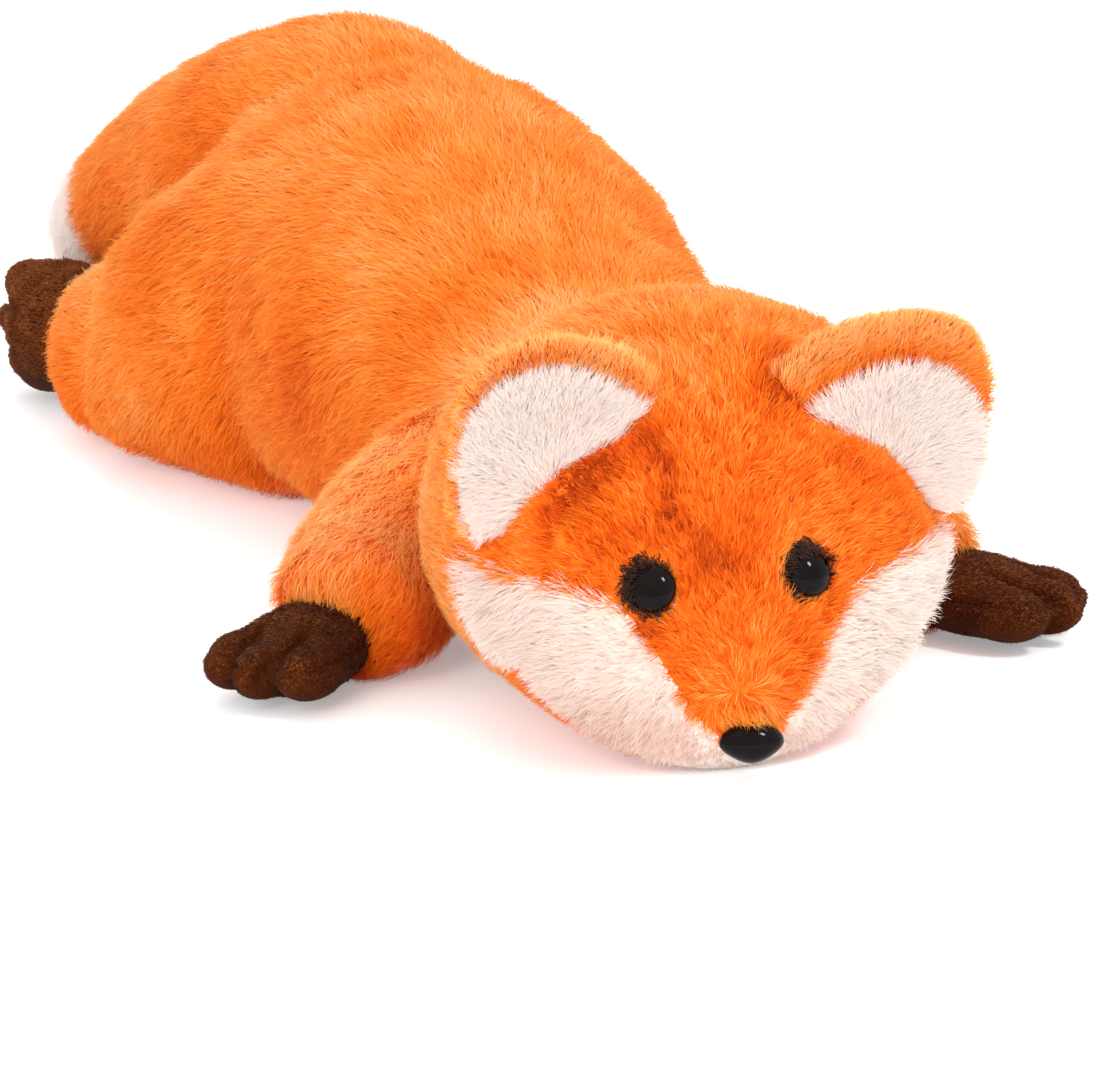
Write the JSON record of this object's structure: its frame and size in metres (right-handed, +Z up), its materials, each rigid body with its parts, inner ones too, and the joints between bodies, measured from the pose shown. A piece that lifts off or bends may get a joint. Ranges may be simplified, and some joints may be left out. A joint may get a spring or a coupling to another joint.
{
  "type": "plush fox",
  "caption": "Stuffed plush fox lying on its belly, with long-pile fur, felt-lined ears, button eyes and nose, a bushy tail, and head, ears, legs and tail that turn.",
  "frame": {"origin": "centre of the bounding box's bottom face, on the surface that the fox lies on", "axes": "the fox faces -Y, +X is its left side and +Z is up"},
  "size_m": [0.222, 0.4988, 0.1155],
  "materials": {
    "orange_plush": "long pile",
    "white_plush": "long pile",
    "brown_plush": "short pile",
    "fibre": "loose fibre",
    "button": "gloss",
    "washer": "matte"
  },
  "bodies": {
    "torso": {"torso_cover": "orange_plush", "torso_filling": "fibre"},
    "neck": {"neck_filling": "fibre"},
    "head": {"head_cover": "orange_plush", "head_filling": "fibre", "cheek_right": "white_plush", "cheek_left": "white_plush", "eye_right": "button", "eye_right_washer": "washer", "eye_left": "button", "eye_left_washer": "washer", "nose": "button", "nose_washer": "washer"},
    "ear_right": {"ear_right_back": "orange_plush", "ear_right_lining": "white_plush"},
    "ear_left": {"ear_left_back": "orange_plush", "ear_left_lining": "white_plush"},
    "tail_root": {"tail_root_filling": "fibre"},
    "tail": {"tail_cover": "orange_plush", "tail_tip": "white_plush", "tail_filling": "fibre"},
    "foreleg_right": {"foreleg_right_cover": "orange_plush", "foreleg_right_filling": "fibre", "forepaw_right_upper": "brown_plush", "forepaw_right_sole": "brown_plush", "forepaw_right_filling": "fibre"},
    "hindleg_right": {"hindleg_right_cover": "orange_plush", "hindleg_right_filling": "fibre", "hindpaw_right_upper": "brown_plush", "hindpaw_right_sole": "brown_plush", "hindpaw_right_filling": "fibre"},
    "foreleg_left": {"foreleg_left_cover": "orange_plush", "foreleg_left_filling": "fibre", "forepaw_left_upper": "brown_plush", "forepaw_left_sole": "brown_plush", "forepaw_left_filling": "fibre"},
    "hindleg_left": {"hindleg_left_cover": "orange_plush", "hindleg_left_filling": "fibre", "hindpaw_left_upper": "brown_plush", "hindpaw_left_sole": "brown_plush", "hindpaw_left_filling": "fibre"}
  },
  "joints": [
    {"name": "head_turn", "type": "hinge", "parent": "torso", "child": "neck", "pos_m": [0, -0.125, 0.041], "axis": [0, 0, 1], "range_deg": [-10, 10], "stiffness_Nm_per_rad": 2},
    {"name": "head_nod", "type": "hinge", "parent": "neck", "child": "head", "pos_m": [0, -0.125, 0.041], "axis": [-1, 0, 0], "range_deg": [0, 25], "stiffness_Nm_per_rad": 2},
    {"name": "tail_sweep", "type": "hinge", "parent": "torso", "child": "tail_root", "pos_m": [-0.015, 0.096, 0.087], "axis": [0, 0, -1], "range_deg": [0, 20], "stiffness_Nm_per_rad": 2},
    {"name": "tail_lift", "type": "hinge", "parent": "tail_root", "child": "tail", "pos_m": [-0.015, 0.096, 0.087], "axis": [1, 0, 0], "range_deg": [0, 40], "stiffness_Nm_per_rad": 2},
    {"name": "ear_fold_right", "type": "hinge", "parent": "head", "child": "ear_right", "pos_m": [-0.04, -0.211, 0.067], "axis": [0.7707, -0.125, 0.6248], "range_deg": [-15, 25], "stiffness_Nm_per_rad": 0.2},
    {"name": "foreleg_spread_right", "type": "hinge", "parent": "torso", "child": "foreleg_right", "pos_m": [-0.046, -0.095, 0.027], "axis": [0, 0, -1], "range_deg": [0, 30], "stiffness_Nm_per_rad": 2},
    {"name": "hindleg_spread_right", "type": "hinge", "parent": "torso", "child": "hindleg_right", "pos_m": [-0.063, 0.112, 0.028], "axis": [0, 0, 1], "range_deg": [0, 25], "stiffness_Nm_per_rad": 2},
    {"name": "ear_fold_left", "type": "hinge", "parent": "head", "child": "ear_left", "pos_m": [0.037, -0.211, 0.067], "axis": [0.7707, 0.125, -0.6248], "range_deg": [-15, 25], "stiffness_Nm_per_rad": 0.2},
    {"name": "foreleg_spread_left", "type": "hinge", "parent": "torso", "child": "foreleg_left", "pos_m": [0.046, -0.095, 0.027], "axis": [0, 0, 1], "range_deg": [0, 30], "stiffness_Nm_per_rad": 2},
    {"name": "hindleg_spread_left", "type": "hinge", "parent": "torso", "child": "hindleg_left", "pos_m": [0.039, 0.112, 0.028], "axis": [0, 0, -1], "range_deg": [0, 25], "stiffness_Nm_per_rad": 2}
  ]
}
